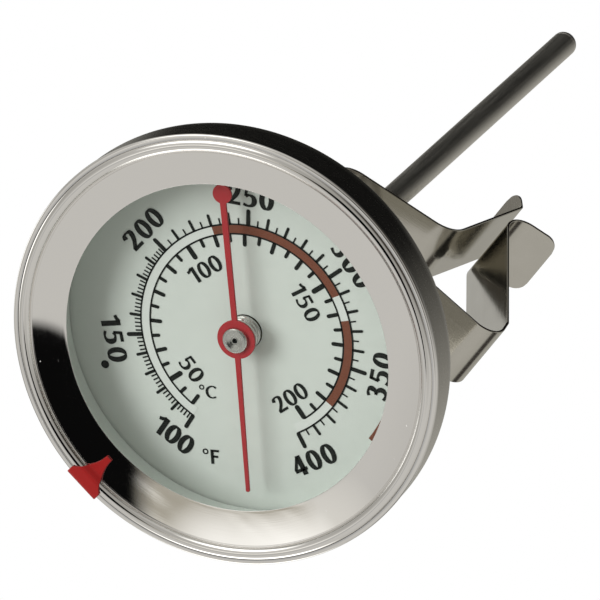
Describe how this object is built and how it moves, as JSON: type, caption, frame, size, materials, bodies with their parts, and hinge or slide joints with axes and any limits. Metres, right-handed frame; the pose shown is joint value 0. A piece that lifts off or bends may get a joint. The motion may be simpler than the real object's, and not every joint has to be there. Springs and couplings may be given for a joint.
{
  "type": "dial thermometer",
  "caption": "Round-dial stem thermometer with a glazed stainless case, a long probe, a sliding spring clip for a pan wall and a rim set marker.",
  "frame": {"origin": "on the flat face of the clip's inner jaw, where the pan wall bears", "axes": "+Z along the stem and out of the dial, +X from the stem towards the pan wall"},
  "size_m": [0.067, 0.0676, 0.1417],
  "materials": {
    "polished_steel": "polished stainless steel",
    "satin_steel": "satin drawn stainless steel",
    "spring_steel": "satin spring steel strip",
    "brass": "turned brass",
    "bimetal": "rolled bimetal strip",
    "glass": "clear flat glass",
    "gasket_rubber": "moulded rubber",
    "surround_white": "moulded off-white",
    "dial_white": "painted and printed",
    "pointer_red": "red paint",
    "marker_red": "gloss red paint"
  },
  "bodies": {
    "clip": {"pan_clip": "spring_steel"},
    "outer_jaw": {"clip_outer_jaw": "spring_steel"},
    "stem": {"stem_tube": "satin_steel", "tip_plug": "satin_steel"},
    "head": {"case_shell": "satin_steel", "bezel_ring": "polished_steel", "lens_glass": "glass", "lens_gasket": "gasket_rubber", "dial_surround": "surround_white", "dial_plate": "dial_white", "stem_bushing": "satin_steel", "back_washer": "gasket_rubber", "bushing_nut": "brass", "upper_bearing": "brass", "lower_bearing": "brass", "bimetal_coil": "bimetal", "coil_anchor": "brass"},
    "pointer": {"pointer_needle": "pointer_red", "pointer_hub": "polished_steel", "spindle": "satin_steel", "coil_collar": "brass"},
    "marker": {"set_marker": "marker_red"}
  },
  "joints": [
    {"name": "clip_slide", "type": "slide", "parent": "clip", "child": "stem", "axis": [0, 0, 1], "range_m": [-0.028, 0.07]},
    {"name": "head_swivel", "type": "hinge", "parent": "stem", "child": "head", "pos_m": [-0.0136, 0, 0.06], "axis": [0, 0, 1], "continuous": true},
    {"name": "pointer_turn", "type": "hinge", "parent": "head", "child": "pointer", "pos_m": [-0.0136, 0, 0.068], "axis": [0, 0, 1], "range_deg": [-336, 14], "stiffness_Nm_per_rad": 0.00002, "deforming": ["bimetal_coil"]},
    {"name": "marker_turn", "type": "hinge", "parent": "head", "child": "marker", "pos_m": [-0.0136, 0, 0.072], "axis": [0, 0, 1], "continuous": true},
    {"name": "jaw_spring", "type": "hinge", "parent": "clip", "child": "outer_jaw", "pos_m": [0.0127, 0, 0.0211], "axis": [0, -1, 0], "range_deg": [0, 12], "stiffness_Nm_per_rad": 0.15}
  ]
}
